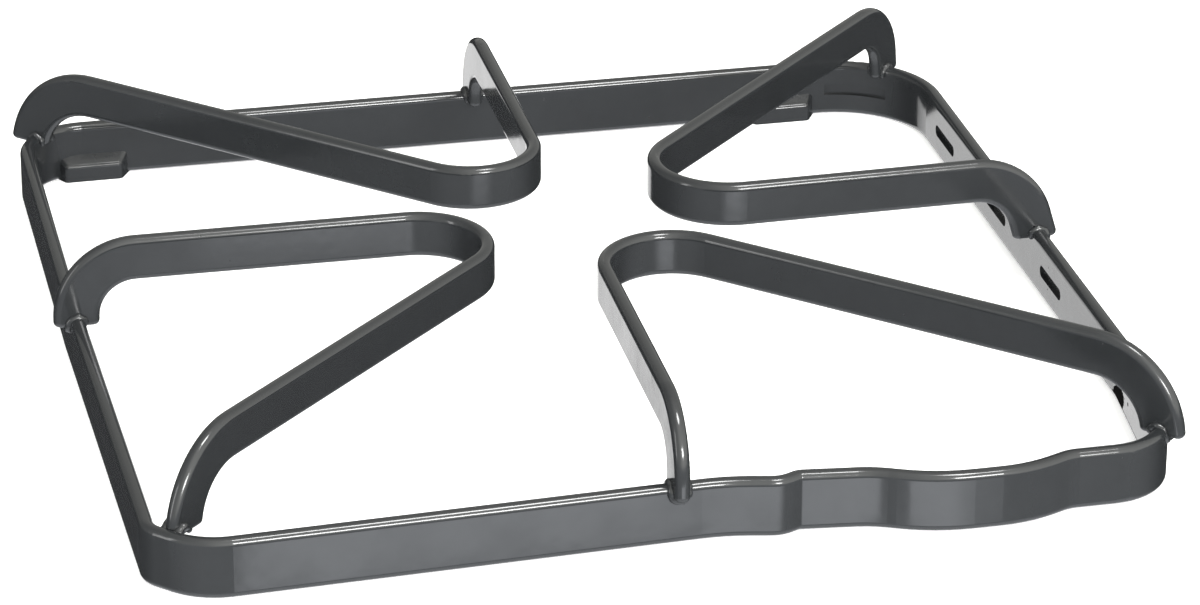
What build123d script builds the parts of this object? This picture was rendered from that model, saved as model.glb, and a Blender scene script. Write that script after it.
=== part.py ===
from build123d import *
from math import acos, degrees, tan
import os

# Ring bar: flat steel bar standing on edge, with almost fully rounded edges under the enamel
RING_THICKNESS = 3.2
RING_HEIGHT = 12.9
RING_EDGE_RADIUS = 1.5

# Ring plan, from the burner axis to the middle of the bar
RING_SIDE = 106.5
RING_BACK = 104.5
RING_FRONT = 108.4
BACK_SKEW = 0.7
LEFT_BACK_IN = 0.8
LEFT_BOW_OUT = 0.45
LEFT_BOW_FROM_BACK = 95.0
LEFT_BOW_RADIUS = 60.0

# Ring corners, radius at the middle of the bar
CORNER_BACK_LEFT = 14.0
CORNER_BACK_RIGHT = 22.5
CORNER_FRONT_RIGHT = 13.0

# The right side leans in towards the front, a little at first and more from a slight kink
KINK_FROM_FRONT = 46.0
KINK_IN = 0.5
KINK_RADIUS = 25.0
RIGHT_LEAN_IN = 5.8

# The front left corner is two bends with a short slant between them
SLANT_ALONG_SIDE = 8.0
SLANT_ALONG_FRONT = 8.7
SLANT_SIDE_RADIUS = 6.0
SLANT_FRONT_RADIUS = 14.0
FRONT_LEFT_OUT = 1.2

# Front run of the ring, from the right corner leftwards: a bulge, a shoulder, the butt weld that
# closes the hoop, then a stretch that is drawn in. In and out are from the front line.
FRONT_RIGHT_OUT = 0.4
BULGE_FROM_CORNER = 21.4
BULGE_RAMP_RIGHT = 9.8
BULGE_FLAT = 19.4
BULGE_RAMP_LEFT = 11.5
BULGE_OUT = 4.7
BULGE_START_RADIUS = 8.0
BULGE_RIGHT_RADIUS = 28.0
BULGE_LEFT_RADIUS = 34.0
SHOULDER_IN = 0.8
SHOULDER_RADIUS = 20.0
SHOULDER_RUN = 15.0
SEAM_LENGTH = 4.0
SEAM_IN = 0.8
SEAM_STEP = 1.9
SEAM_RIGHT_RADIUS = 2.5
SEAM_LEFT_RADIUS = 6.0
DRAW_IN_RUN = 11.1
DRAW_IN = 3.2
DRAW_IN_RADIUS = 40.0

# Lugs pressed inwards from the lower part of the ring bar; they widen from nose to root
LUG_NOSE_LENGTH = 13.0
LUG_NOSE_HEIGHT = 4.0
LUG_END_SPREAD = 2.6
LUG_TOP_RISE = 2.4
LUG_REACH = 3.1
LUG_ROUNDING = 1.2
LUG_FROM_BACK_LEFT_BEND = 2.8
LUG_FROM_BACK_RIGHT_BEND = 9.4

# Shallow slot marks stamped at an even pitch on the inner face of the ring's right side and bend
MARK_COUNT = 3
MARK_LENGTH = 15.0
MARK_WIDTH = 2.7
MARK_DEPTH = 1.0
MARK_HEIGHT = 6.3
MARK_FROM_BEND = 15.5
MARK_PITCH = 41.0

# Finger bar: narrower flat bar on edge, bent to a hairpin in plan
FINGER_THICKNESS = 3.2
FINGER_WIDTH = 9.9
FINGER_EDGE_RADIUS = 1.5
FINGER_ANGLE = 45.5
FINGER_APEX = 1.2
PAN_HEIGHT = 30.0

# Bends made by hand, one value per finger: back right, back left, front left, front right
TIP_RADIUS = [15.9, 14.2, 14.9, 14.55]
AXIS_LEG_TURN = [0.0, -0.27, 0.0, -0.58]
APEX_RIGHT = [0.0, -0.5, 0.6, 0.7]
APEX_FORWARD = [1.4, 0.5, 1.4, 1.7]

# Feet: the bar's ends, curled down and notched over the ring
FOOT_OVERLAP = 2.5
FOOT_SPARE = 3.0
FOOT_ROUNDING = 1.2
NOTCH_CLEARANCE = 0.15

# Feet made by hand, in the same order, on the axis leg and on the diagonal leg: how far the foot's
# end lies outside the ring bar's middle, how far the foot leans outwards, and the curl's radius
AXIS_FOOT_OUT = [-0.2, 0.0, 0.0, 0.0]
AXIS_FOOT_LEAN = [4.4, 0.0, 0.0, 0.0]
AXIS_CURL_RADIUS = [13.2, 12.9, 12.9, 11.0]
DIAGONAL_FOOT_OUT = [1.7, 2.9, -5.4, 0.6]
DIAGONAL_FOOT_LEAN = [1.6, 0.4, 0.1, 1.3]
DIAGONAL_CURL_RADIUS = [11.5, 17.9, 16.1, 15.5]

# Weld beads on both faces of each foot. They lie this far inside the foot's outer edge, as long as
# that moves them off the ring bar's middle by no more than a share of its thickness.
WELD_RADIUS = 1.9
WELD_INSET = 2.0
WELD_SHIFT_SHARE = 0.35

# A rounded edge takes at most this share of its wall
EDGE_SHARE = 0.47

FINGER_NAMES = ["finger_back_right", "finger_back_left", "finger_front_left", "finger_front_right"]
UP = Vector(0, 0, 1)


def bar_section(thickness, width, edge_radius):
    """Section of a flat bar: thickness across X, width along Y, edges rounded."""
    return RectangleRounded(thickness, width, min(edge_radius, EDGE_SHARE * thickness))


def ring_centre_line():
    """Closed plan path of the ring bar's middle, clockwise from the back left corner."""
    front_run = [
        (BULGE_FROM_CORNER, FRONT_RIGHT_OUT, BULGE_START_RADIUS),
        (BULGE_RAMP_RIGHT, BULGE_OUT, BULGE_RIGHT_RADIUS),
        (BULGE_FLAT, BULGE_OUT, BULGE_LEFT_RADIUS),
        (BULGE_RAMP_LEFT, -SHOULDER_IN, SHOULDER_RADIUS),
        (SHOULDER_RUN, -SEAM_IN - SEAM_STEP, SEAM_RIGHT_RADIUS),
        (SEAM_LENGTH, -SEAM_IN, SEAM_LEFT_RADIUS),
        (DRAW_IN_RUN, -DRAW_IN, DRAW_IN_RADIUS),
    ]
    x = RING_SIDE - RIGHT_LEAN_IN
    corners = [
        (-RING_SIDE + LEFT_BACK_IN, RING_BACK + BACK_SKEW, CORNER_BACK_LEFT),
        (RING_SIDE, RING_BACK - BACK_SKEW, CORNER_BACK_RIGHT),
        (RING_SIDE - KINK_IN, -RING_FRONT + KINK_FROM_FRONT, KINK_RADIUS),
        (x, -RING_FRONT - FRONT_RIGHT_OUT, CORNER_FRONT_RIGHT),
    ]
    for run, out, radius in front_run:
        x -= run
        corners.append((x, -RING_FRONT - out, radius))
    corners.append((-RING_SIDE + SLANT_ALONG_FRONT, -RING_FRONT - FRONT_LEFT_OUT, SLANT_FRONT_RADIUS))
    corners.append((-RING_SIDE, -RING_FRONT + SLANT_ALONG_SIDE, SLANT_SIDE_RADIUS))
    corners.append((-RING_SIDE - LEFT_BOW_OUT, RING_BACK - LEFT_BOW_FROM_BACK, LEFT_BOW_RADIUS))
    points = [(x, y) for x, y, radius in corners]
    radii = [radius for x, y, radius in corners]
    return FilletPolyline(*points, radius=radii, close=True)


def ring_band(path, thickness):
    """Upright bar of the ring's height swept round the ring path."""
    along = path % 0
    upright = Plane(origin=path @ 0 + UP * RING_HEIGHT / 2, x_dir=UP.cross(along), z_dir=along)
    return sweep(upright * bar_section(thickness, RING_HEIGHT, RING_EDGE_RADIUS), path=path)


def lug_form(below):
    """Tapered lug in its own frame: X along the bar, Y up, Z inwards from the bar's middle."""
    standing = (Align.CENTER, Align.MIN)
    nose = Rectangle(LUG_NOSE_LENGTH, LUG_NOSE_HEIGHT + below, align=standing)
    root_length = LUG_NOSE_LENGTH + 2 * LUG_END_SPREAD
    root = Rectangle(root_length, LUG_NOSE_HEIGHT + LUG_TOP_RISE + below, align=standing)
    return Pos(0, -below) * loft([root, Pos(0, 0, RING_THICKNESS / 2 + LUG_REACH) * nose])


def add_lug(ring, place, inwards):
    """Press one lug: the bar's metal moves inwards and leaves an open pocket in the outer face."""
    seat = Plane(origin=place, x_dir=UP.cross(inwards), z_dir=inwards)
    lug = lug_form(below=0)
    shown = [edge for edge in lug.edges() if edge.center().Y > 0 and edge.center().Z > 0]
    lug = fillet(shown, LUG_ROUNDING)
    pocket = Pos(0, 0, -RING_THICKNESS) * lug_form(below=RING_EDGE_RADIUS)
    return ring + seat * lug - seat * pocket


def slot_marks(path):
    """Tools for the stamped marks: a row down the right side and one round the back right bend."""
    bend_end = RING_BACK - BACK_SKEW - CORNER_BACK_RIGHT
    to_right = Vector(1, 0, 0)
    marks = []
    for number in range(MARK_COUNT):
        abreast = Vector(0, bend_end - MARK_FROM_BEND - number * MARK_PITCH, 0)
        inner_face = ring_crossing(path, abreast, to_right) - to_right * RING_THICKNESS / 2
        face = Plane(origin=inner_face + UP * MARK_HEIGHT, x_dir=(0, 1, 0), z_dir=to_right)
        marks.append(extrude(face * SlotOverall(MARK_LENGTH, MARK_WIDTH), MARK_DEPTH, both=True))
    inner_radius = CORNER_BACK_RIGHT - RING_THICKNESS / 2
    turn = degrees(MARK_LENGTH / inner_radius)
    middle_turn = degrees((MARK_PITCH - MARK_FROM_BEND) / CORNER_BACK_RIGHT)
    strip = Plane.XZ * Pos(inner_radius, 0) * Rectangle(2 * MARK_DEPTH, MARK_WIDTH)
    bend_axis = Pos(RING_SIDE - CORNER_BACK_RIGHT, bend_end, MARK_HEIGHT)
    marks.append(bend_axis * Rot(0, 0, middle_turn - turn / 2) * revolve(strip, Axis.Z, turn))
    return marks


def make_ring(path):
    """Ring frame with the two pressed lugs of its back side and its slot marks."""
    ring = ring_band(path, RING_THICKNESS)
    back_left = Vector(-RING_SIDE + CORNER_BACK_LEFT + LUG_FROM_BACK_LEFT_BEND, 0)
    back_right = Vector(RING_SIDE - CORNER_BACK_RIGHT - LUG_FROM_BACK_RIGHT_BEND, 0)
    backwards = Vector(0, 1, 0)
    for start in (back_left, back_right):
        ring = add_lug(ring, ring_crossing(path, start, backwards), -backwards)
    for mark in slot_marks(path):
        ring = ring - mark
    return ring


def ring_crossing(path, start, direction):
    """Point where a line drawn outwards from a start inside the ring first meets the ring path."""
    ray = Edge.make_line(start, start + direction * (RING_SIDE + RING_BACK))
    hits = [point for edge in path.edges() for point in edge.find_intersection_points(ray)]
    return min(hits, key=lambda point: (point - start).length)


def foot_line(place, way, out, lean, radius):
    """Knee and lower end of one foot's line; the end runs on below the foot, which is cut off level."""
    leg_height = PAN_HEIGHT - FINGER_WIDTH / 2
    drop = leg_height - (RING_HEIGHT - FOOT_OVERLAP)
    knee = place + way * (out - lean) + UP * leg_height
    down = (way * lean - UP * drop).normalized()
    bend = acos(way.dot(down))
    length = max(drop, radius * tan(bend / 2)) + FOOT_SPARE
    return knee, knee + down * length


def make_finger(quarter, path):
    """One hairpin before notching, with its feet as (place on the ring, direction, distance out)."""
    ahead = Vector(1, 0, 0)
    axis_way = ahead.rotate(Axis.Z, 90 * quarter + AXIS_LEG_TURN[quarter])
    diagonal_way = ahead.rotate(Axis.Z, 90 * quarter + FINGER_ANGLE)
    apex = axis_way * FINGER_APEX
    axis_place = ring_crossing(path, apex, axis_way)
    diagonal_place = ring_crossing(path, apex, diagonal_way)
    apex = apex + Vector(APEX_RIGHT[quarter], -APEX_FORWARD[quarter])
    axis_way = (axis_place - apex).normalized()
    diagonal_way = (diagonal_place - apex).normalized()
    axis_out, axis_curl = AXIS_FOOT_OUT[quarter], AXIS_CURL_RADIUS[quarter]
    diagonal_out, diagonal_curl = DIAGONAL_FOOT_OUT[quarter], DIAGONAL_CURL_RADIUS[quarter]
    first_knee, first_end = foot_line(axis_place, axis_way, axis_out, AXIS_FOOT_LEAN[quarter], axis_curl)
    last_knee, last_end = foot_line(
        diagonal_place, diagonal_way, diagonal_out, DIAGONAL_FOOT_LEAN[quarter], diagonal_curl
    )
    turn = apex + UP * first_knee.Z
    radii = [axis_curl, TIP_RADIUS[quarter], diagonal_curl]
    hairpin = FilletPolyline(first_end, first_knee, turn, last_knee, last_end, radius=radii)
    start = Plane(origin=hairpin @ 0, x_dir=UP.cross(axis_way), z_dir=hairpin % 0)
    bar = sweep(start * bar_section(FINGER_THICKNESS, FINGER_WIDTH, FINGER_EDGE_RADIUS), path=hairpin)
    bar = split(bar, Plane.XY.offset(RING_HEIGHT - FOOT_OVERLAP), keep=Keep.TOP)
    foot_edges = bar.edges().group_by(Axis.Z)[0]
    rounding = min(FOOT_ROUNDING, EDGE_SHARE * FINGER_THICKNESS, EDGE_SHARE * 2 * FINGER_EDGE_RADIUS)
    feet = [(axis_place, axis_way, axis_out), (diagonal_place, diagonal_way, diagonal_out)]
    return fillet(foot_edges, rounding), feet


def foot_beads(place, way, out, ring, bar):
    """Weld of one foot: a bead on the ring's top against each face, joined if they meet past its edge."""
    shift = max(min(0, out + FINGER_WIDTH / 2 - WELD_INSET), -WELD_SHIFT_SHARE * RING_THICKNESS)
    middle = place + way * shift + UP * RING_HEIGHT
    across = UP.cross(way) * (FINGER_THICKNESS / 2)
    beads = Pos(middle - across) * Sphere(WELD_RADIUS) + Pos(middle + across) * Sphere(WELD_RADIUS)
    return (beads - bar - ring).solids()


def main():
    path = ring_centre_line()
    ring = make_ring(path)
    notch = ring_band(path, RING_THICKNESS + 2 * NOTCH_CLEARANCE)
    nodes = {"ring_frame": ring}
    beads = []
    for quarter, name in enumerate(FINGER_NAMES):
        bar, feet = make_finger(quarter, path)
        nodes[name] = bar - notch
        for place, way, out in feet:
            beads.extend(foot_beads(place, way, out, ring, bar))
    nodes["weld_beads"] = Compound(children=beads)
    os.makedirs("parts", exist_ok=True)
    for name, node in nodes.items():
        export_step(node, f"parts/{name}.step")
        print(name, len(node.solids()), round(node.volume, 1))


main()
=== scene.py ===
# %% [markdown]
# # A hob pan support in grey enamel
# The object is the steel grate that stands over one gas burner. A hoop of flat bar stands on edge, and
# four hairpin fingers of narrower bar curl up from it and carry the pan. Everything is welded first and
# then dipped in enamel, so one skin of dark grey glass runs over bars, feet and welds alike.
# The CAD model already has the right bars in the right places, so they stay as they are. This lesson
# dresses them: it mixes the enamel, paints shade on it in one place, lays lumpy welds and sets up a
# studio.

# %% Load the imported CAD model
from math import atan2, pi, radians

import bpy
from mathutils import Matrix, Vector


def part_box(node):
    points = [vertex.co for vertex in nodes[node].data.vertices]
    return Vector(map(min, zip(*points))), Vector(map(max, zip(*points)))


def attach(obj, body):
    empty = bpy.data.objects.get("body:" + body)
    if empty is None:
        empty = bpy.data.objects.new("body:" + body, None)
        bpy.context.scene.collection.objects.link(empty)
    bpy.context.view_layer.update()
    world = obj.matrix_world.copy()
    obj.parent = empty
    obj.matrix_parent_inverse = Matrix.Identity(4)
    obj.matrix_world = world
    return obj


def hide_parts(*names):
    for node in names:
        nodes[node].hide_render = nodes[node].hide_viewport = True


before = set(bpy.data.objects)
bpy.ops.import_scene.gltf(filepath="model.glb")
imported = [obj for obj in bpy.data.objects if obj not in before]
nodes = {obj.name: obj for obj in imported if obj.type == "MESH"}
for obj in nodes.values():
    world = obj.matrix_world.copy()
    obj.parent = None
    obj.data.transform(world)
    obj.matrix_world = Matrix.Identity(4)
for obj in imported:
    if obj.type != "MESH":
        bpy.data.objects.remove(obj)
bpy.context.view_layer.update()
MM = 0.001
UP = Vector((0, 0, 1))
print("CAD nodes:", sorted(nodes))


# %% [markdown]
# ## Camera
# The photograph was taken with a long lens, a little left of the front and looking down on the grate.
# The camera could be aimed with a Track To constraint, but a constraint can't hold the small roll, so
# its axes are built from the direction it looks in and its roll.

# %% Place the camera
CAMERA_PLACE = Vector((-221.8, -989.7, 469.8)) * MM
CAMERA_LOOKS = Vector((0.2050, 0.88563, -0.4167)).normalized()
CAMERA_ROLL = radians(0.147)
CAMERA_LENS = 153.95
SENSOR_WIDTH = 36.0


def camera_axes(looks, roll):
    """Turn of a camera that looks along a direction, level with the floor but for its roll."""
    back = -looks
    right = UP.cross(back).normalized()
    top = back.cross(right)
    level = Matrix((right, top, back)).transposed()
    return level @ Matrix.Rotation(roll, 3, "Z")


lens = bpy.data.cameras.new("photo_camera")
lens.lens = CAMERA_LENS
lens.sensor_width = SENSOR_WIDTH
lens.sensor_fit = "HORIZONTAL"
camera = bpy.data.objects.new("photo_camera", lens)
bpy.context.scene.collection.objects.link(camera)
turn = camera_axes(CAMERA_LOOKS, CAMERA_ROLL).to_4x4()
camera.matrix_world = Matrix.Translation(CAMERA_PLACE) @ turn
bpy.context.scene.camera = camera
print("camera", [round(c, 3) for c in CAMERA_PLACE], "lens", CAMERA_LENS, "mm")


# %% [markdown]
# ## Node trees
# Enamel, welds and studio are all made of nodes. Nodes could be wired by hand in Blender's editor, but a
# script can be read, changed and run again. A few helpers make a node, fill its inputs with values or
# with other nodes' outputs, and hand on its output, so that the later steps stay short.

# %% Helpers for any node
FIRST_NODE = Vector((-3000, 0))
NODE_STEP = Vector((200, -40))


def new_node(tree, kind, **settings):
    """One node with its settings, set out to the right of the one made before it."""
    node = tree.nodes.new(kind)
    node.location = FIRST_NODE + len(tree.nodes) * NODE_STEP
    for name, value in settings.items():
        setattr(node, name, value)
    return node


def plug(value, socket):
    """Link another node's output to an input, or set the input to a plain value."""
    if isinstance(value, bpy.types.NodeSocket):
        socket.id_data.links.new(value, socket)
    else:
        socket.default_value = value


def set_inputs(node, **values):
    """Plug values or outputs into a node's inputs by their names, with _ for a space."""
    for name, value in values.items():
        plug(value, node.inputs[name.replace("_", " ")])


print("nodes start at", FIRST_NODE[:], "and step by", NODE_STEP[:])


# %% Helpers for sums, mixes, fades and noise
def calculate(tree, operation, *values):
    """Output of a Math node that works on numbers or on other nodes' outputs."""
    node = new_node(tree, "ShaderNodeMath", operation=operation)
    for socket, value in zip(node.inputs, values):
        plug(value, socket)
    return node.outputs[0]


def mix(tree, factor, first, second, data_type="RGBA"):
    """Output of a Mix node, all first at factor 0 and all second at factor 1."""
    node = new_node(tree, "ShaderNodeMix", data_type=data_type)
    set_inputs(node, Factor=factor, A=first, B=second)
    return node.outputs["Result"]


def fade(tree, value, start, end, start_value, end_value, kind="SMOOTHSTEP"):
    """Output that goes from one value to another while an input runs from start to end."""
    node = new_node(tree, "ShaderNodeMapRange", interpolation_type=kind)
    set_inputs(node, Value=value, From_Min=start, From_Max=end, To_Min=start_value, To_Max=end_value)
    return node.outputs["Result"]


def noise(tree, place, **values):
    """Output of a Noise Texture at a place."""
    node = new_node(tree, "ShaderNodeTexNoise")
    set_inputs(node, Vector=place, **values)
    return node.outputs["Fac"]


def object_place(tree):
    """Output that gives the place on the object, in metres."""
    return new_node(tree, "ShaderNodeTexCoord").outputs["Object"]


def new_group(name, inputs, output):
    """An empty shader group with number inputs (name: start value) and one number output."""
    group = bpy.data.node_groups.new(name, "ShaderNodeTree")
    for label, value in inputs.items():
        socket = group.interface.new_socket(label, in_out="INPUT", socket_type="NodeSocketFloat")
        socket.default_value = value
    group.interface.new_socket(output, in_out="OUTPUT", socket_type="NodeSocketFloat")
    return group


print("helpers ready")


# %% [markdown]
# ## Ripple
# Enamel is coloured glass melted on to the steel. It is smooth and shiny, but not as flat as a mirror: it
# sags in broad, low waves and has a fine orange peel. Both could be sculpted into the mesh, but they are
# only hundredths of a millimetre high, so a bump that tilts the reflections is enough. The ripple is a
# shader node group, because bars and welds both use it.

# %% Shader group: ripple of the enamel
RIPPLE_INPUTS = {
    "Sag Size": 9.0 * MM,
    "Sag Height": 0.03 * MM,
    "Peel Size": 2.2 * MM,
    "Peel Height": 0.01 * MM,
}


def make_ripple_group():
    """Height of the enamel's skin in metres, from broad sags and fine orange peel."""
    group = new_group("enamel_ripple", RIPPLE_INPUTS, "Height")
    start = new_node(group, "NodeGroupInput").outputs
    place = object_place(group)
    heights = []
    for kind in ("Sag", "Peel"):
        scale = calculate(group, "DIVIDE", 1.0, start[kind + " Size"])
        waves = noise(group, place, Scale=scale, Detail=1.0, Roughness=0.4)
        heights.append(calculate(group, "MULTIPLY", waves, start[kind + " Height"]))
    total = calculate(group, "ADD", *heights)
    end = new_node(group, "NodeGroupOutput")
    set_inputs(end, Height=total)
    return group


ripple_group = make_ripple_group()
print("made", ripple_group.name, "with", len(ripple_group.nodes), "nodes")


# %% [markdown]
# ## Pinholes
# Where gas escaped in the oven, the skin has pinholes: sparse, small dark pits, a little wider on the
# welds. They could be set one by one. A Voronoi texture scatters them instead: it gives the distance to
# the nearest of many loose points, and the mask is 1 close to such a point.

# %% Shader group: pinholes
PINHOLE_INPUTS = {"Spacing": 6.5 * MM, "Radius": 0.28 * MM}


def make_pinhole_group():
    """Mask that is 1 inside sparse round pinholes and 0 elsewhere."""
    group = new_group("enamel_pinholes", PINHOLE_INPUTS, "Mask")
    start = new_node(group, "NodeGroupInput").outputs
    cells = new_node(group, "ShaderNodeTexVoronoi")
    scale = calculate(group, "DIVIDE", 1.0, start["Spacing"])
    set_inputs(cells, Vector=object_place(group), Scale=scale)
    distance = calculate(group, "MULTIPLY", cells.outputs["Distance"], start["Spacing"])
    inside = fade(group, distance, start=0.0, end=start["Radius"], start_value=1.0, end_value=0.0)
    end = new_node(group, "NodeGroupOutput")
    set_inputs(end, Mask=inside)
    return group


pinhole_group = make_pinhole_group()
print("made", pinhole_group.name, "with", len(pinhole_group.nodes), "nodes")


# %% [markdown]
# ## Enamel
# The grey is mottled and the gloss a little hazy in places. One flat colour would look like plastic, and
# a picture would have to be wrapped round every bar, so noise mixes two greys and varies the roughness.
# The pinholes darken and sink the skin, and the ripple lifts it. Bars and welds get a mix each.

# %% Mix the enamel
ENAMEL_IOR = 1.52
ENAMEL_DARK = (0.0134, 0.0145, 0.0156, 1.0)
ENAMEL_LIGHT = (0.0182, 0.0196, 0.0212, 1.0)
PINHOLE_COLOUR = (0.006, 0.006, 0.006, 1.0)
PINHOLE_DEPTH = 0.15 * MM
SMUDGE_FROM = 0.3
SMUDGE_TO = 0.7


def make_enamel(name, gloss_from, gloss_to, peel_height, pinhole_radius):
    """Grey enamel: mottled colour and gloss, rippled skin, sunken dark pinholes."""
    enamel = bpy.data.materials.new(name)
    enamel.use_nodes = True
    tree = enamel.node_tree
    shader = tree.nodes["Principled BSDF"]
    place = object_place(tree)
    pinholes = new_node(tree, "ShaderNodeGroup", node_tree=pinhole_group)
    set_inputs(pinholes, Radius=pinhole_radius)
    in_hole = pinholes.outputs["Mask"]
    ripple = new_node(tree, "ShaderNodeGroup", node_tree=ripple_group)
    set_inputs(ripple, Peel_Height=peel_height)

    mottle = noise(tree, place, Scale=140.0, Detail=6.0, Roughness=0.65)
    grey = mix(tree, mottle, ENAMEL_DARK, ENAMEL_LIGHT)
    colour = mix(tree, in_hole, grey, PINHOLE_COLOUR)
    smudges = noise(tree, place, Scale=85.0, Detail=5.0, Roughness=0.6)
    haze = fade(tree, smudges, SMUDGE_FROM, SMUDGE_TO, gloss_from, gloss_to, kind="LINEAR")
    height = calculate(tree, "MULTIPLY_ADD", in_hole, -PINHOLE_DEPTH, ripple.outputs["Height"])
    bump = new_node(tree, "ShaderNodeBump")
    set_inputs(bump, Strength=1.0, Distance=1.0, Height=height)
    set_inputs(shader, Base_Color=colour, Roughness=haze, IOR=ENAMEL_IOR, Normal=bump.outputs["Normal"])
    return enamel


BAR_SKIN = dict(gloss_from=0.09, gloss_to=0.18, peel_height=0.01 * MM, pinhole_radius=0.28 * MM)
WELD_SKIN = dict(gloss_from=0.08, gloss_to=0.2, peel_height=0.01 * MM, pinhole_radius=0.4 * MM)
bar_enamel = make_enamel("grey_enamel_bars", **BAR_SKIN)
weld_enamel = make_enamel("grey_enamel_welds", **WELD_SKIN)
for node in nodes.values():
    node.data.materials.clear()
    node.data.materials.append(bar_enamel)
print("enamel on", len(nodes), "CAD nodes")


# %% [markdown]
# ## Painted shade on the ring
# On the inner face of the ring's right side, near the front foot, a dark dull patch with a fleck beside
# it is painted shade. It is only colour and gloss, so it needs no shape of its own. It could be painted
# as a picture, but a mask worked out from the place on the bar stays sharp at any size: an ellipsoid that
# fades outwards, with its rim broken up by noise.

# %% Mask of the painted shade
# Each painted shade patch has its middle and half sizes in millimetres, and its lean about X in degrees.
PAINTED_SHADE_PATCHES = [
    ((104.7, -66.9, 2.2), (2.5, 7.2, 3.4), -20.3),
    ((104.7, -75.3, 4.7), (2.5, 1.0, 0.8), 0.0),
]
SHADE_PATCH_RIM = 0.15
SHADE_PATCH_RIM_SOFT = 0.02
SHADE_PATCH_RAGGED = 0.55


def shade_patch_mask(tree, place):
    """Output that is 1 inside the painted shade patches and 0 outside, with ragged rims."""
    depth = 0.0
    for middle, halves, lean in PAINTED_SHADE_PATCHES:
        centred = new_node(tree, "ShaderNodeMapping", vector_type="TEXTURE")
        set_inputs(centred, Vector=place, Location=Vector(middle) * MM, Scale=Vector(halves) * MM)
        set_inputs(centred, Rotation=(radians(lean), 0, 0))
        ball = new_node(tree, "ShaderNodeTexGradient", gradient_type="SPHERICAL")
        set_inputs(ball, Vector=centred.outputs["Vector"])
        depth = calculate(tree, "MAXIMUM", depth, ball.outputs["Fac"])
    rag = noise(tree, place, Scale=700.0, Detail=2.0)
    ragged = calculate(tree, "MULTIPLY_ADD", rag, SHADE_PATCH_RAGGED, depth)
    rim = SHADE_PATCH_RIM + SHADE_PATCH_RAGGED / 2
    inside = fade(tree, ragged, rim - SHADE_PATCH_RIM_SOFT, rim + SHADE_PATCH_RIM_SOFT, 0.0, 1.0, kind="LINEAR")
    near = calculate(tree, "GREATER_THAN", depth, 0.0)
    return calculate(tree, "MULTIPLY", inside, near)


print("shade_patches", len(PAINTED_SHADE_PATCHES))


# %% [markdown]
# Inside the mask the material turns from shiny glass to a rough, dark metal, which paints the shade. A
# second material on some of the faces would need a cut along the rim, so the mask blends the colour, the
# roughness and the metal of the one material.

# %% Paint the shade on the enamel
# Painted shade: this dark colour and full roughness stand for shadow on the ring's inner face.
PAINTED_SHADE_COLOUR = (0.006, 0.005, 0.0045, 1.0)
PAINTED_SHADE_ROUGHNESS = 0.95


def paint_shade(enamel):
    """Painted shade: dull, dark metal where the patches are."""
    tree = enamel.node_tree
    shader = tree.nodes["Principled BSDF"]
    mask = shade_patch_mask(tree, object_place(tree))
    grey = shader.inputs["Base Color"].links[0].from_socket
    gloss = shader.inputs["Roughness"].links[0].from_socket
    colour = mix(tree, mask, grey, PAINTED_SHADE_COLOUR)
    roughness = mix(tree, mask, gloss, PAINTED_SHADE_ROUGHNESS, data_type="FLOAT")
    set_inputs(shader, Base_Color=colour, Roughness=roughness, Metallic=mask)


# Paint the shade patches on the bars' enamel.
paint_shade(bar_enamel)
print("shade_painted_on", bar_enamel.name)


# %% [markdown]
# ## Welds
# Each foot straddles the ring bar and is welded on all round. The places of the welds could be measured
# and typed in. They are looked up in the CAD meshes instead, so they follow the CAD when it changes: a
# finger's feet are its lowest points, and the plain CAD beads near a foot show where its weld lies.

# %% Find the feet
FOOT_SLICE = 0.8 * MM
SAME_FOOT = radians(20)
BEAD_REACH = 9 * MM
WELD_FROM_FOOT = 3.2 * MM
ring_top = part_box("ring_frame")[1][2]
bead_points = [vertex.co.copy() for vertex in nodes["weld_beads"].data.vertices]


def mean(points):
    """Middle of a list of points."""
    return sum(points, Vector()) / len(points)


def find_feet(finger):
    """The two feet of a finger: the middles of its lowest slices, told apart by their direction."""
    points = [vertex.co.copy() for vertex in finger.data.vertices]
    lowest = min(point.z for point in points)
    ends = [point for point in points if point.z < lowest + FOOT_SLICE]
    first = [point for point in ends if point.xy.angle(ends[0].xy) < SAME_FOOT]
    second = [point for point in ends if point.xy.angle(ends[0].xy) >= SAME_FOOT]
    return [mean(first), mean(second)]


def find_weld(foot):
    """Middle of a foot's beads at the ring's top, at most WELD_FROM_FOOT further out than the foot."""
    near = [point for point in bead_points if (point.xy - foot.xy).length < BEAD_REACH]
    weld = mean(near).xy
    outside = weld.length - foot.xy.length
    weld -= weld.normalized() * max(0, outside - WELD_FROM_FOOT)
    return Vector((*weld, ring_top))


feet = []
for name in sorted(nodes):
    if name.startswith("finger"):
        feet += find_feet(nodes[name])
weld_places = [find_weld(foot) for foot in feet]
print("feet", len(feet))


# %% [markdown]
# A weld's bead climbs over the ring's rounded top on one face of the foot, runs under the foot's end on
# the ring's outer side, and climbs back on the other face. The route could be drawn by hand in the
# viewport. Here it is a list of points for one face, which is mirrored for the other.

# %% Route of one weld
# One half of the route in millimetres: X outwards, Y across the foot, Z up from the ring's top.
WELD_HALF_WIDTH = 1.75
WELD_ROUTE = [
    (-1.9, WELD_HALF_WIDTH, -2.2),
    (-1.5, WELD_HALF_WIDTH, -0.7),
    (0.0, WELD_HALF_WIDTH, 0.1),
    (1.5, WELD_HALF_WIDTH, -0.7),
    (1.9, WELD_HALF_WIDTH, -2.0),
    (1.9, 0.8, -3.0),
]


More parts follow.
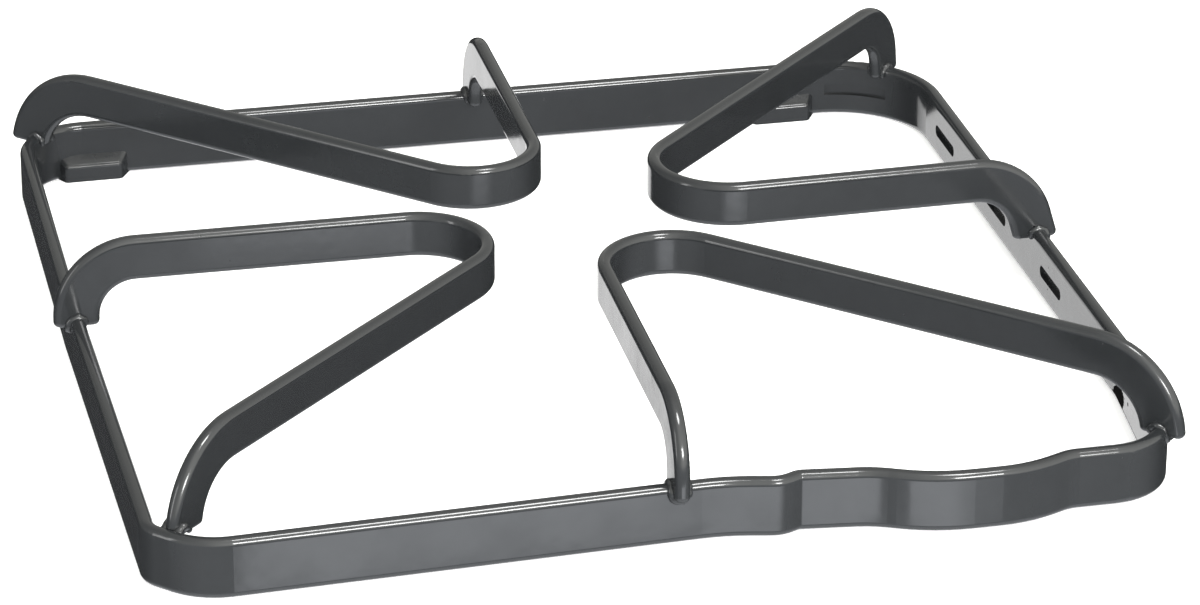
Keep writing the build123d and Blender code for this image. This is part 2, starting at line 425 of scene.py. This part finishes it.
def make_route():
    """Curve of one weld in a foot's own frame."""
    half = [Vector(point) * MM for point in WELD_ROUTE]
    other_half = [Vector((point.x, -point.y, point.z)) for point in reversed(half)]
    curve = bpy.data.curves.new("weld_route", "CURVE")
    curve.dimensions = "3D"
    spline = curve.splines.new("POLY")
    spline.points.add(2 * len(half) - 1)
    for point, place in zip(spline.points, half + other_half):
        point.co = (*place, 1.0)
    route = bpy.data.objects.new("weld_route", curve)
    bpy.context.scene.collection.objects.link(route)
    return route


weld_route = make_route()
print("route points", len(weld_route.data.splines[0].points))


# %% [markdown]
# Welds could be sculpted one by one. A Geometry Nodes tree makes all eight from the one route, and its
# sizes are named inputs, so that all the welds can be changed together.

# %% Geometry Nodes: the tree and its inputs
WELD_INPUTS = {
    "Geometry": "NodeSocketGeometry",
    "Route": "NodeSocketObject",
    "Bead Radius": "NodeSocketFloat",
    "Lump Size": "NodeSocketFloat",
    "Lump Height": "NodeSocketFloat",
    "Seed": "NodeSocketFloat",
    "Material": "NodeSocketMaterial",
}
weld_tree = bpy.data.node_groups.new("foot_welds", "GeometryNodeTree")
for name, kind in WELD_INPUTS.items():
    weld_tree.interface.new_socket(name, in_out="INPUT", socket_type=kind)
weld_tree.interface.new_socket("Geometry", in_out="OUTPUT", socket_type="NodeSocketGeometry")
weld_start = new_node(weld_tree, "NodeGroupInput").outputs
print("tree", weld_tree.name, "with inputs", list(WELD_INPUTS))


# %% [markdown]
# The tree starts from one point for each foot. Instance on Points lays the route on each of them, turned
# to face outwards as the foot does. The copies are then made real and cut into even steps, so that the
# bead gets rings at an even distance.

# %% Geometry Nodes: the route on every foot
ROUTE_STEPS = 44


def lay_routes(tree, start):
    """Curves: the route on every point, turned about Z by the point's own turn."""
    route = new_node(tree, "GeometryNodeObjectInfo")
    set_inputs(route, Object=start["Route"])
    turn = new_node(tree, "GeometryNodeInputNamedAttribute", data_type="FLOAT")
    set_inputs(turn, Name="turn")
    about_z = new_node(tree, "ShaderNodeCombineXYZ")
    set_inputs(about_z, Z=turn.outputs["Attribute"])
    laid = new_node(tree, "GeometryNodeInstanceOnPoints")
    set_inputs(laid, Points=start["Geometry"], Instance=route.outputs["Geometry"])
    set_inputs(laid, Rotation=about_z.outputs["Vector"])
    real = new_node(tree, "GeometryNodeRealizeInstances")
    set_inputs(real, Geometry=laid.outputs["Instances"])
    even = new_node(tree, "GeometryNodeResampleCurve")
    set_inputs(even, Curve=real.outputs["Geometry"], Count=ROUTE_STEPS)
    return even.outputs["Curve"]


routes = lay_routes(weld_tree, weld_start)
print("routes in", ROUTE_STEPS, "steps")


# %% [markdown]
# A bead is thin where the arc is struck and where it is broken off. Curve to Mesh draws a circle along
# each route, and a Float Curve thins both ends. A curve's own bevel could do the same, but the lumps of
# the next step need a mesh inside the tree.

# %% Geometry Nodes: a tapered bead
BEAD_SIDES = 14
BEAD_END_SHARE = 0.25
BEAD_TAPER_SHARE = 0.18


def thicken(tree, start, routes):
    """Mesh of a round bead along each route, thinner at both ends."""
    along = new_node(tree, "GeometryNodeSplineParameter")
    taper = new_node(tree, "ShaderNodeFloatCurve")
    set_inputs(taper, Value=along.outputs["Factor"])
    shape = taper.mapping.curves[0]
    shape.points[0].location = (0.0, BEAD_END_SHARE)
    shape.points[1].location = (1.0, BEAD_END_SHARE)
    shape.points.new(BEAD_TAPER_SHARE, 1.0)
    shape.points.new(1.0 - BEAD_TAPER_SHARE, 1.0)
    taper.mapping.update()
    profile = new_node(tree, "GeometryNodeCurvePrimitiveCircle")
    set_inputs(profile, Resolution=BEAD_SIDES, Radius=start["Bead Radius"])
    bead = new_node(tree, "GeometryNodeCurveToMesh")
    set_inputs(bead, Curve=routes, Profile_Curve=profile.outputs["Curve"])
    set_inputs(bead, Scale=taper.outputs["Value"], Fill_Caps=True)
    return bead.outputs["Mesh"]


beads = thicken(weld_tree, weld_start, routes)
print("beads with", BEAD_SIDES, "sides")


# %% [markdown]
# A weld sets in lumps, drop by drop. They could be modelled as balls along the bead, but noise that
# pushes the skin in and out gives softer joins. It reads the place on the whole grate, so no two welds
# are alike, and its fixed seed makes the same lumps each time.

# %% Geometry Nodes: lumps
NOISE_MIDDLE = 0.5


def push_lumps(tree, start, beads):
    """Beads whose skin is pushed in and out along its normals by noise."""
    place = new_node(tree, "GeometryNodeInputPosition").outputs["Position"]
    scale = calculate(tree, "DIVIDE", 1.0, start["Lump Size"])
    lumps = new_node(tree, "ShaderNodeTexNoise", noise_dimensions="4D")
    set_inputs(lumps, Vector=place, W=start["Seed"], Scale=scale, Detail=2.0)
    swing = calculate(tree, "SUBTRACT", lumps.outputs["Fac"], NOISE_MIDDLE)
    height = calculate(tree, "MULTIPLY", swing, start["Lump Height"])
    normal = new_node(tree, "GeometryNodeInputNormal").outputs["Normal"]
    push = new_node(tree, "ShaderNodeVectorMath", operation="SCALE")
    plug(normal, push.inputs[0])
    set_inputs(push, Scale=height)
    lumpy = new_node(tree, "GeometryNodeSetPosition")
    set_inputs(lumpy, Geometry=beads, Offset=push.outputs["Vector"])
    smooth = new_node(tree, "GeometryNodeSetShadeSmooth")
    set_inputs(smooth, Geometry=lumpy.outputs["Geometry"])
    return smooth.outputs["Geometry"]


lumpy_beads = push_lumps(weld_tree, weld_start, beads)
print("lumps swing about", NOISE_MIDDLE)


# %% [markdown]
# The tree ends in Realize Instances, because an export drops instances, and in Set Material, because a
# mesh made by nodes has no material until it is given one.

# %% Geometry Nodes: end of the tree
def end_tree(tree, start, beads):
    """Make everything real and give it its enamel."""
    whole = new_node(tree, "GeometryNodeRealizeInstances")
    set_inputs(whole, Geometry=beads)
    painted = new_node(tree, "GeometryNodeSetMaterial")
    set_inputs(painted, Geometry=whole.outputs["Geometry"], Material=start["Material"])
    end = new_node(tree, "NodeGroupOutput")
    set_inputs(end, Geometry=painted.outputs["Geometry"])


end_tree(weld_tree, weld_start, lumpy_beads)
print("tree", weld_tree.name, "with", len(weld_tree.nodes), "nodes")


# %% [markdown]
# The tree runs on a mesh that has one point for each foot. Its result is turned into a plain mesh, which
# takes the place of the CAD beads. A live modifier would look the same, but an export keeps only the
# plain mesh.

# %% Lay the welds
WELD_SIZES = {"Bead Radius": 0.85 * MM, "Lump Size": 1.3 * MM, "Lump Height": 1.2 * MM, "Seed": 7.0}


def tree_input(modifier, name, value):
    """Set a Geometry Nodes input by its socket's identifier."""
    for socket in modifier.node_group.interface.items_tree:
        if socket.name == name and socket.in_out == "INPUT":
            modifier[socket.identifier] = value


def make_welds():
    """One mesh with a weld on every foot."""
    mesh = bpy.data.meshes.new("foot_points")
    mesh.from_pydata(weld_places, [], [])
    turns = mesh.attributes.new("turn", "FLOAT", "POINT")
    for item, foot in zip(turns.data, feet):
        item.value = atan2(foot.y, foot.x)
    source = bpy.data.objects.new("foot_points", mesh)
    bpy.context.scene.collection.objects.link(source)
    modifier = source.modifiers.new("welds", "NODES")
    modifier.node_group = weld_tree
    tree_input(modifier, "Route", weld_route)
    tree_input(modifier, "Material", weld_enamel)
    for name, value in WELD_SIZES.items():
        tree_input(modifier, name, value)
    evaluated = source.evaluated_get(bpy.context.evaluated_depsgraph_get())
    made = bpy.data.meshes.new_from_object(evaluated)
    made.name = "foot_welds"
    source.modifiers.remove(modifier)
    bpy.data.objects.remove(source)
    piece = bpy.data.objects.new("foot_welds", made)
    bpy.context.scene.collection.objects.link(piece)
    return piece


foot_welds = make_welds()
bpy.data.objects.remove(weld_route)
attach(foot_welds, "root")
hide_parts("weld_beads")
print("welds:", len(foot_welds.data.polygons), "faces")


# %% [markdown]
# ## Studio
# Dark shiny enamel shows little of its own colour: what the eye sees on it is the room. So the room is
# built from what each face of the bars reflects in the photograph. The floor is a pale sheet that also
# glows, so that shadows on it stay faint. It lights the bars but is kept out of their reflections, where
# the cards of the next step stand in for it.

# %% Floor
FLOOR_HALF = 4.0
FLOOR_GLOW = 0.45
PALE_PAINT = (0.9, 0.9, 0.9, 1.0)
PLAIN_WHITE = (1.0, 1.0, 1.0, 1.0)
SQUARE_CORNERS = [(-1, -1), (1, -1), (1, 1), (-1, 1)]


def make_sheet(name, corners, paint):
    """A flat four-cornered object of the studio."""
    mesh = bpy.data.meshes.new(name)
    mesh.from_pydata(corners, [], [(0, 1, 2, 3)])
    mesh.materials.append(paint)
    sheet = bpy.data.objects.new(name, mesh)
    bpy.context.scene.collection.objects.link(sheet)
    return sheet


def make_glow(name, paint, colour, strength):
    """Dull material with a paint of its own that also shines with an even strength."""
    glow = bpy.data.materials.new(name)
    glow.use_nodes = True
    shader = glow.node_tree.nodes["Principled BSDF"]
    set_inputs(shader, Base_Color=paint, Roughness=0.9)
    set_inputs(shader, Emission_Color=colour, Emission_Strength=strength)
    return glow


floor_corners = [(x * FLOOR_HALF, y * FLOOR_HALF, 0) for x, y in SQUARE_CORNERS]
floor_paint = make_glow("floor_paint", PALE_PAINT, PLAIN_WHITE, FLOOR_GLOW)
floor = make_sheet("floor", floor_corners, floor_paint)
floor.visible_glossy = False
print("floor", 2 * FLOOR_HALF, "m square")


# %% [markdown]
# Photographers hold white cards where a shiny face would mirror something dark. Here one card stands
# behind the grate, for the faces that look left, and two stand low in front, for the faces that look
# forwards. Lamps could do the same, but they would light the bars as well. The cards are black but for
# their glow, only reflections see them, and each fades at its right end to the room's brightness in
# front, so that its edge draws no line on the enamel.

# %% Reflection cards
BLACK_PAINT = (0.0, 0.0, 0.0, 1.0)
COOL_WHITE = (0.96, 0.99, 1.04, 1.0)
ROOM_IN_FRONT = 0.75
CARDS = {
    "card_behind": dict(
        left=-0.10, right=0.10, fade_width=0.005, depth=0.30, bottom=-0.25, top=-0.04,
        colour=PLAIN_WHITE, strength=1.62,
    ),
    "card_front": dict(
        left=-0.046, right=0.16, fade_width=0.11, depth=-0.30, bottom=-0.104, top=-0.060,
        colour=COOL_WHITE, strength=3.4,
    ),
    "card_front_low": dict(
        left=-0.080, right=0.16, fade_width=0.11, depth=-0.30, bottom=-0.125, top=-0.104,
        colour=COOL_WHITE, strength=1.35,
    ),
}


def make_card(name, left, right, fade_width, depth, bottom, top, colour, strength):
    """Upright card that only reflections see, fading to the room's brightness at its right end."""
    paint = make_glow(name + "_paint", BLACK_PAINT, colour, strength)
    tree = paint.node_tree
    parts = new_node(tree, "ShaderNodeSeparateXYZ")
    set_inputs(parts, Vector=object_place(tree))
    shine = fade(tree, parts.outputs["X"], right - fade_width, right, strength, ROOM_IN_FRONT)
    set_inputs(tree.nodes["Principled BSDF"], Emission_Strength=shine)
    corners = [(left, depth, bottom), (right, depth, bottom), (right, depth, top), (left, depth, top)]
    card = make_sheet(name, corners, paint)
    card.visible_camera = False
    card.visible_diffuse = False
    card.visible_shadow = False


for name, card in CARDS.items():
    make_card(name, **card)
    print(name, "strength", card["strength"])


# %% [markdown]
# The lamps are placed by their highlights: two thin bright lines run along each bar's rounded top edge,
# one from a lamp nearly overhead and one from a lamp low behind the camera, and a dim strip on the left
# picks out the edges that look that way. A broad fill on the left evens out the grey of the faces and
# is kept out of their reflections.

# %% Lamps
LAMP_DISTANCE = 1.5
LAMPS = {
    "lamp_above": dict(direction=(0.205, -0.29, 0.936), width=0.34, height=0.34, brightness=26.0),
    "lamp_front": dict(direction=(0.205, -0.896, 0.395), width=0.36, height=0.30, brightness=35.0),
    "strip_left": dict(direction=(-0.92, -0.25, 0.26), width=0.25, height=0.8, brightness=4.5),
    "fill_left": dict(direction=(-0.80, -0.60, 0.30), width=1.0, height=1.0, brightness=4.2),
}
UNREFLECTED = "fill_left"


def make_lamp(name, direction, width, height, brightness):
    """Area lamp that looks at the grate; its power follows from its brightness and size."""
    lamp = bpy.data.lights.new(name, "AREA")
    lamp.shape = "RECTANGLE"
    lamp.size = width
    lamp.size_y = height
    lamp.energy = brightness * pi * width * height
    lamp_object = bpy.data.objects.new(name, lamp)
    bpy.context.scene.collection.objects.link(lamp_object)
    towards = Vector(direction).normalized()
    turn = camera_axes(-towards, 0).to_4x4()
    lamp_object.matrix_world = Matrix.Translation(towards * LAMP_DISTANCE) @ turn
    lamp_object.visible_glossy = name != UNREFLECTED


for name, lamp in LAMPS.items():
    make_lamp(name, **lamp)
    print(name, "brightness", lamp["brightness"])


# %% [markdown]
# The rest of the room is bright behind the camera and dark behind the grate, as in a studio where the
# photographer works from one side. Above the horizon it is brighter than below, and it fades to the left.
# Straight down it brightens again, so that the bars' lower edges catch the pale floor. A picture of a
# real room could stand in for it, but a few fades of the direction are easier to tune face by face.

# %% Room
WARM_WHITE = (1.0, 1.0, 0.95, 1.0)


def make_room():
    """World whose brightness depends on the direction looked in."""
    world = bpy.data.worlds.new("room")
    world.use_nodes = True
    tree = world.node_tree
    way = new_node(tree, "ShaderNodeTexCoord").outputs["Generated"]
    parts = new_node(tree, "ShaderNodeSeparateXYZ")
    set_inputs(parts, Vector=way)
    sideways, backwards, upwards = parts.outputs
    ceiling = fade(tree, backwards, start=-0.9, end=0.9, start_value=2.6, end_value=0.6)
    left_share = fade(tree, sideways, start=-0.6, end=0.1, start_value=0.45, end_value=1.0)
    above = calculate(tree, "MULTIPLY", ceiling, left_share)
    ground = fade(tree, backwards, start=-0.8, end=0.4, start_value=ROOM_IN_FRONT, end_value=0.05)
    floor_glow = fade(tree, upwards, start=-0.85, end=-0.5, start_value=0.95, end_value=0.0)
    below = calculate(tree, "ADD", ground, floor_glow)
    horizon = fade(tree, upwards, start=-0.05, end=0.1, start_value=0.0, end_value=1.0)
    strength = mix(tree, horizon, below, above, data_type="FLOAT")
    tint = mix(tree, horizon, COOL_WHITE, WARM_WHITE)
    set_inputs(tree.nodes["Background"], Strength=strength, Color=tint)
    return world


bpy.context.scene.world = make_room()
bpy.context.scene.view_settings.view_transform = "Standard"
print("room set")
